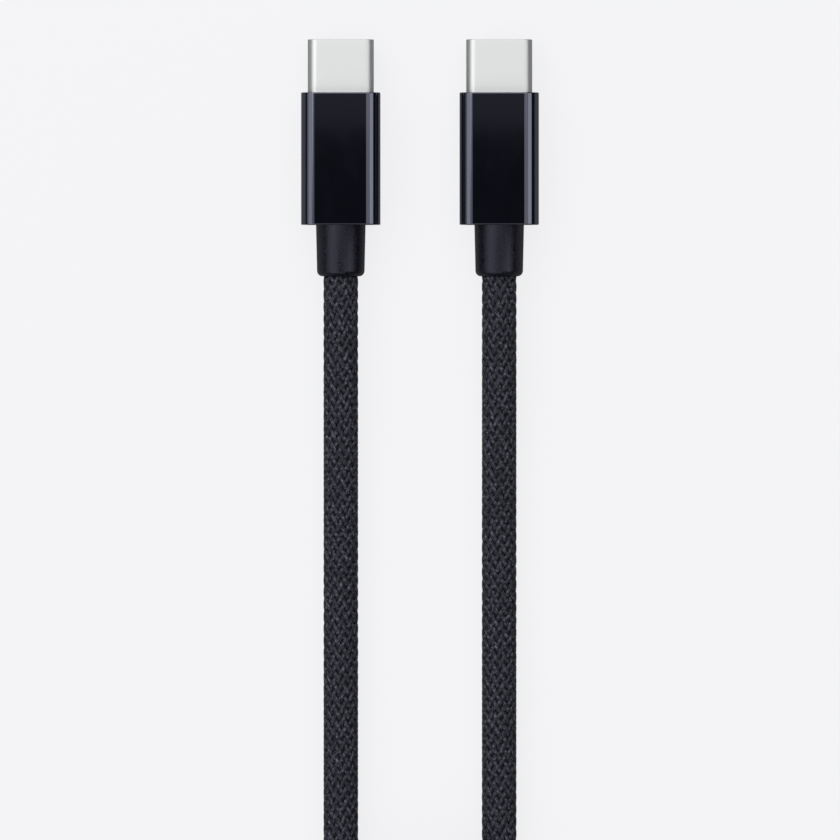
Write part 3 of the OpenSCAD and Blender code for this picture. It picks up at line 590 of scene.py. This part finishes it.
def skin(name, side, rings, material, node):
    """A closed skin through rings of (station behind the tip, outline), for one plug."""
    mesh = bpy.data.meshes.new(name)
    size = len(rings[0][1])
    points = [((side * pitch / 2 + x) / 1000, (tip_y - station) / 1000, (axis_z + z) / 1000)
              for station, shape in rings for x, z in shape]
    faces = []
    for i in range(len(rings)):
        here, there = i * size, (i + 1) % len(rings) * size
        faces += [(here + k, here + (k + 1) % size, there + (k + 1) % size, there + k) for k in range(size)]
    mesh.from_pydata(points, [], faces)
    work = bmesh.new()
    work.from_mesh(mesh)
    bmesh.ops.remove_doubles(work, verts=work.verts, dist=1e-7)
    bmesh.ops.recalc_face_normals(work, faces=work.faces)
    work.to_mesh(mesh)
    work.free()
    mesh.shade_smooth()
    mesh.set_sharp_from_angle(angle=math.radians(50))
    mesh.materials.append(material)
    made = bpy.data.objects.new(name, mesh)
    scene.collection.objects.link(made)
    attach(made, "cable")
    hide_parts(node)


def oval(inset):
    """The shell's outline, in from its outside."""
    return outline(shell_w - 2 * inset, shell_h - 2 * inset, shell_h / 2 - inset - 1e-6)


shell_steel = finish("shell_steel", (0.77, 0.785, 0.78), 0.46, grain_mm=(0.03, 0.09, 0.03),
                     colour_spread=0.02, roughness_spread=0.03, relief_mm=0.0002, Metallic=1.0)
shell_rings = [(shell_len, oval(shell_wall)), (lip_len, oval(shell_wall)), (inner_lip_r, oval(shell_wall))]
shell_rings += [(station, oval(shell_wall - in_from)) for station, in_from in rounding(inner_lip_r, 4)[1:]]
shell_rings += [(station, oval(inset)) for inset, station in rounding(lip_r, 5)]
shell_rings += [(lip_len, oval(0)), (shell_len, oval(0))]
for side, plug in ((-1, "left"), (1, "right")):
    skin(f"{plug}_plug_shell", side, shell_rings, shell_steel, f"{plug}_plug_metal_shell")

# ---- tongue carrier, contacts and springs ----
# Inside the shell sits a black moulded carrier with gold-plated contact beams in two rows, thin
# spring-steel ground springs, and a latch plate between with one sprung arm at each side.
inner_finishes = {
    "insulator": finish("carrier_plastic", (0.016, 0.016, 0.018), 0.5, grain_mm=(0.06, 0.06, 0.06),
                        colour_spread=0.25, roughness_spread=0.08, relief_mm=0.003),
    "upper_contact_block": finish("block_plastic", (0.026, 0.026, 0.029), 0.55, grain_mm=(0.05, 0.05, 0.05),
                                  colour_spread=0.25, roughness_spread=0.08, relief_mm=0.003),
    "upper_contacts": finish("gold_plating", (0.93, 0.68, 0.30), 0.24, grain_mm=(0.08, 0.5, 0.08),
                             colour_spread=0.06, roughness_spread=0.07, relief_mm=0.0006, Metallic=1.0),
    "latch_plate": finish("spring_steel", (0.64, 0.64, 0.65), 0.3, grain_mm=(0.5, 0.06, 0.06),
                          colour_spread=0.07, roughness_spread=0.08, relief_mm=0.001, Metallic=1.0)}
alike = {"lower_contact_block": "upper_contact_block", "lower_contacts": "upper_contacts",
         "latch_arm_left": "latch_plate", "latch_arm_right": "latch_plate",
         "upper_ground_spring": "latch_plate", "lower_ground_spring": "latch_plate"}


def dress(finishes, twins):
    """Gives both plugs' named pieces their finish."""
    for piece_name in [*finishes, *twins]:
        for plug in ("left", "right"):
            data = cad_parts[f"{plug}_plug_{piece_name}"].data
            data.materials.clear()
            data.materials.append(finishes[twins.get(piece_name, piece_name)])


dress(inner_finishes, alike)

# ---- circuit board ----
# A small green board with a controller chip above and four ceramic capacitors below, tinned at
# both ends. They stand 1.4 mm apart behind each other. Sizes in metres, as the tree's steps are.
capacitor_pitch, ceramic_half = 0.0014, 0.00028
board_paint = finish("solder_mask", (0.016, 0.11, 0.05), 0.35, grain_mm=(0.12, 0.12, 0.12),
                     colour_spread=0.12, roughness_spread=0.05, relief_mm=0.004, Coat_Weight=0.3)
chip_paint = finish("chip_epoxy", (0.018, 0.018, 0.019), 0.55, grain_mm=(0.04, 0.04, 0.04),
                    colour_spread=0.3, roughness_spread=0.08, relief_mm=0.004)
ceramic = finish("capacitor_ceramic", (0.42, 0.30, 0.18), 0.45, grain_mm=(0.08, 0.08, 0.08),
                 colour_spread=0.12, roughness_spread=0.06, relief_mm=0.002)


def second_colour(axis, steps, colour):
    """Gives the material that is being made a second colour, where steps of sums on its place say 1."""
    place = fitted(tree, "ShaderNodeTexCoord").outputs["Object"]
    there = fitted(tree, "ShaderNodeSeparateXYZ", {0: place}).outputs[axis]
    for operation, *numbers in steps:
        there = sum_of(operation, there, *numbers)
    base = tree.nodes["Principled BSDF"].inputs["Base Color"]
    first = base.links[0].from_socket
    both = fitted(tree, "ShaderNodeMix", {"Factor": there, "A": first, "B": (*colour, 1)}, data_type="RGBA")
    tree.links.new(both.outputs["Result"], base)
    return there


low_corner, high_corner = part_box("left_plug_board_capacitors")
middle_y = (low_corner.y + high_corner.y) / 2
tree = ceramic.node_tree
tinned = second_colour("Y", (
    ("SUBTRACT", middle_y), ("WRAP", capacitor_pitch, 0.0), ("SUBTRACT", capacitor_pitch / 2),
    ("ABSOLUTE",), ("GREATER_THAN", ceramic_half)), (0.72, 0.72, 0.71))
tree.links.new(tinned, tree.nodes["Principled BSDF"].inputs["Metallic"])
dress({"circuit_board": board_paint, "controller_chip": chip_paint, "board_capacitors": ceramic}, {})

# ---- shield cans and crimp ----
# Two tin-plated steel half cans close round the board. A brass ferrule crimps the cord's shield
# to them, in a block of pale moulded plastic.
dress({"upper_shield_can": finish("tin_plate", (0.74, 0.74, 0.73), 0.3, grain_mm=(0.4, 0.4, 0.4),
                                  colour_spread=0.06, roughness_spread=0.09, relief_mm=0.003, Metallic=1.0),
       "crimp_ferrule": finish("crimped_brass", (0.78, 0.56, 0.27), 0.32, grain_mm=(0.15, 0.5, 0.15),
                               colour_spread=0.08, roughness_spread=0.08, relief_mm=0.003, Metallic=1.0),
       "inner_mould": finish("pale_mould", (0.70, 0.70, 0.67), 0.5, grain_mm=(0.5, 0.5, 0.5),
                             colour_spread=0.04, roughness_spread=0.05, relief_mm=0.006)},
      {"lower_shield_can": "upper_shield_can"})

# ---- wires and cord end ----
# The stripped cord brings a red power wire, a black ground wire, a blue control wire and a green
# and a white data wire to the board. The white one begins 0.9 mm right of the plug's middle. The
# cord end inside the boot keeps its braid.
wire_grain = dict(grain_mm=(0.1, 0.8, 0.1), colour_spread=0.08, relief_mm=0.002)
white_from = 0.0009
data_paint = finish("data_insulation", (0.03, 0.30, 0.08), 0.4, **wire_grain)
tree = data_paint.node_tree
second_colour("X", (("WRAP", 0.0, -pitch / 1000), ("GREATER_THAN", white_from - pitch / 2000)),
              (0.75, 0.75, 0.73))
dress({"power_wire": finish("power_insulation", (0.55, 0.02, 0.02), 0.4, **wire_grain),
       "ground_wire": finish("ground_insulation", (0.015, 0.015, 0.016), 0.4, **wire_grain),
       "control_wire": finish("control_insulation", (0.04, 0.09, 0.48), 0.4, **wire_grain),
       "data_wires": data_paint,
       "cord_end": finish("cord_end_braid", (0.045, 0.048, 0.058), 0.7, grain_mm=(0.35, 0.8, 0.35),
                          colour_spread=0.5, roughness_spread=0.1, relief_mm=0.06)}, {})

# ---- housings ----
# Each housing is one glossy black moulding, a rectangular sleeve with rounded long edges and crisp
# ends. The front wall fits round the shell; the rear is open for the boot's flange. A ring close
# to each edge keeps the faces beside it flat.
housing_w, housing_h, housing_r, housing_wall, front_wall = 9.9, 6.3, 1.9, 0.7, 0.8
housing_rear, fit, edge_r, mouth_bevel, rear_bevel = 23.15, 0.03, 0.1, 0.04, 0.03


def sleeve(inset):
    """The housing's outline, in from its outside."""
    return outline(housing_w - 2 * inset, housing_h - 2 * inset, max(housing_r - inset, 0.2))


def opening(more):
    """The opening in the front wall, out from the shell."""
    return outline(shell_w + 2 * more, shell_h + 2 * more, shell_h / 2 + more - 1e-6)


gloss_black = finish("gloss_black", (0.0028, 0.003, 0.0055), 0.06, grain_mm=(2.5, 5.0, 2.5),
                     colour_spread=0.15, roughness_spread=0.015, relief_mm=0.001, IOR=2.4,
                     Specular_Tint=(0.74, 0.775, 1.0, 1))
cover_edge = rounding(edge_r, 4)
cover_rings = [(shell_reach + front_wall, opening(fit)), (shell_reach + 1.5 * mouth_bevel, opening(fit)),
               (shell_reach + mouth_bevel, opening(fit)), (shell_reach, opening(fit + mouth_bevel)),
               (shell_reach, opening(fit + 1.75 * mouth_bevel)), (shell_reach, sleeve(1.4 * edge_r))]
cover_rings += [(shell_reach + station, sleeve(inset)) for inset, station in cover_edge]
cover_rings += [(shell_reach + 1.5 * edge_r, sleeve(0)), (housing_rear - 1.5 * edge_r, sleeve(0))]
cover_rings += [(housing_rear - station, sleeve(inset)) for inset, station in cover_edge[::-1]]
cover_rings += [(housing_rear, sleeve(1.4 * edge_r)), (housing_rear, sleeve(housing_wall - 2 * rear_bevel)),
                (housing_rear, sleeve(housing_wall - rear_bevel)),
                (housing_rear - rear_bevel, sleeve(housing_wall)),
                (housing_rear - 2 * rear_bevel, sleeve(housing_wall)),
                (shell_reach + front_wall, sleeve(housing_wall))]
for side, plug in ((-1, "left"), (1, "right")):
    skin(f"{plug}_plug_cover", side, cover_rings, gloss_black, f"{plug}_plug_housing")

# ---- boots ----
# Each boot is soft matte rubber, moulded on a flange that plugs the housing. It tapers a little
# and ends in a rounded edge round the cord.
flange_front, boot_len, boot_front, boot_rear, boot_edge, bore = 22.0, 6.45, 3.1, 2.975, 0.7, 2.13
root_fillet, bore_bevel = 0.06, 0.04
boot_end = housing_rear + boot_len


def flange(inset):
    """The outline inside the housing, in from the housing's outside."""
    return outline(housing_w - 2 * inset, housing_h - 2 * inset, housing_r - inset)


def circle(radius):
    """A circle of as many points as the flange has, starting where the flange starts."""
    size = len(flange(0))
    angles = [tau * (k + 0.5) / size for k in range(size)]
    return [(radius * math.cos(a), radius * math.sin(a)) for a in angles]


rubber = finish("boot_rubber", (0.004, 0.004, 0.0065), 0.35, grain_mm=(0.2, 0.28, 0.2),
                colour_spread=0.9, roughness_spread=0.14, relief_mm=0.02, IOR=1.51,
                Specular_Tint=(0.73, 0.745, 1.0, 1))
boot_rings = [(flange_front, circle(bore)), (flange_front, flange(housing_wall + fit)),
              (housing_rear - rear_bevel, flange(housing_wall + fit)),
              (housing_rear, flange(housing_wall + fit + rear_bevel)),
              (housing_rear, circle(boot_front + root_fillet)),
              (housing_rear + root_fillet / 3, circle(boot_front + root_fillet / 3)),
              (housing_rear + root_fillet, circle(boot_front))]
boot_rings += [(boot_end - back, circle(boot_rear - inward)) for back, inward in rounding(boot_edge, 8)]
boot_rings += [(boot_end, circle(bore + 1.5 * bore_bevel)), (boot_end - bore_bevel, circle(bore))]
for side, plug in ((-1, "left"), (1, "right")):
    skin(f"{plug}_plug_sleeve", side, boot_rings, rubber, f"{plug}_plug_boot")

# ---- floor and light ----
# A plain pale table, just under the piece. Soft boxes stand left, right, near and far, those at the
# sides brighter in their middle, and a dim one hangs over the plugs. The ceiling between them is
# dark, so that the black pieces show the boxes as soft bands. Sizes in metres.
floor_half, floor_z = 3, -0.00015
floor_mesh = bpy.data.meshes.new("floor")
floor_corners = [(x * floor_half, y * floor_half, floor_z) for x, y in ((-1, -1), (1, -1), (1, 1), (-1, 1))]
floor_mesh.from_pydata(floor_corners, [], [(0, 1, 2, 3)])
floor = bpy.data.objects.new("floor", floor_mesh)
scene.collection.objects.link(floor)
table_tone = (0.905, 0.905, 0.921, 1)
floor_paint = bpy.data.materials.new("pale_table")
floor_paint.use_nodes = True
tree = floor_paint.node_tree
tree.nodes.remove(tree.nodes["Principled BSDF"])
ray = fitted(tree, "ShaderNodeLightPath").outputs
plain, dimmed, seen = (fitted(tree, "ShaderNodeBsdfDiffuse", {0: colour}).outputs[0] for colour in (
    (0.6, 0.6, 0.61, 1), (0.25, 0.25, 0.257, 1), (0.9, 0.9, 0.9, 1)))
glow = fitted(tree, "ShaderNodeEmission", {0: table_tone}).outputs[0]


def mixed(share, first, second):
    """Two shaders in the tree that is being made, mixed by a share or by a kind of ray."""
    return fitted(tree, "ShaderNodeMixShader", {0: share, 1: first, 2: second}).outputs[0]


glow_share = 0.9
reflected = mixed(ray["Is Glossy Ray"], plain, dimmed)
in_view = mixed(glow_share, seen, glow)
tree.links.new(mixed(ray["Is Camera Ray"], reflected, in_view), tree.nodes["Material Output"].inputs[0])
floor_mesh.materials.append(floor_paint)


def softbox(name, length, width, radiance, place):
    """A rectangular lamp, in metres, whose face has this radiance."""
    box = bpy.data.objects.new(name, bpy.data.lights.new(name, "AREA"))
    scene.collection.objects.link(box)
    box.data.shape = "RECTANGLE"
    box.data.size, box.data.size_y = length, width
    box.data.energy = radiance * math.pi * length * width
    box.location = place
    return box


# Each box: name, direction on the table, degrees down from straight above and half across, length,
# radiance, metres away.
aim = Vector((0, -0.03, 0))
for name, toward, lean_deg, across_deg, length, radiance, away in (
        ("softbox_left", (-1, 0), 45.5, 29, 1.2, 0.5, 0.6),
        ("softbox_left_middle", (-1, 0), 48, 13, 1.2, 0.72, 0.58),
        ("softbox_right", (1, 0), 36, 28, 0.4, 0.7, 0.6),
        ("softbox_right_middle", (1, 0), 47, 13, 0.4, 0.72, 0.58),
        ("softbox_near", (-0.3, -0.95), 38, 24, 0.6, 0.7, 0.6),
        ("softbox_far", (-0.2, 0.98), 36, 26, 0.8, 1.7, 0.6)):
    lean_to = math.radians(lean_deg)
    aside = Vector((toward[0] * math.sin(lean_to), toward[1] * math.sin(lean_to), math.cos(lean_to)))
    box = softbox(name, length, 2 * away * math.tan(math.radians(across_deg)), radiance, aim + away * aside)
    box.rotation_euler = (aim - box.location).to_track_quat("-Z", "Y").to_euler()
softbox("softbox_above", length=0.3, width=0.2, radiance=0.085, place=(0, 0.109, 0.3))

world = bpy.data.worlds.new("room")
world.use_nodes = True
scene.world = world
tree = world.node_tree
ray = fitted(tree, "ShaderNodeLightPath").outputs
fill = tree.nodes["Background"]
fill.inputs[0].default_value, fill.inputs[1].default_value = (0.9, 0.9, 0.92, 1), 0.15
ceiling, backdrop = (fitted(tree, "ShaderNodeBackground", {0: colour, 1: strength}).outputs[0]
                     for colour, strength in (((0.9, 0.9, 0.95, 1), 0.012), (table_tone, 1.0)))
shine = mixed(ray["Is Glossy Ray"], fill.outputs[0], ceiling)
tree.links.new(mixed(ray["Is Camera Ray"], shine, backdrop), tree.nodes["World Output"].inputs[0])
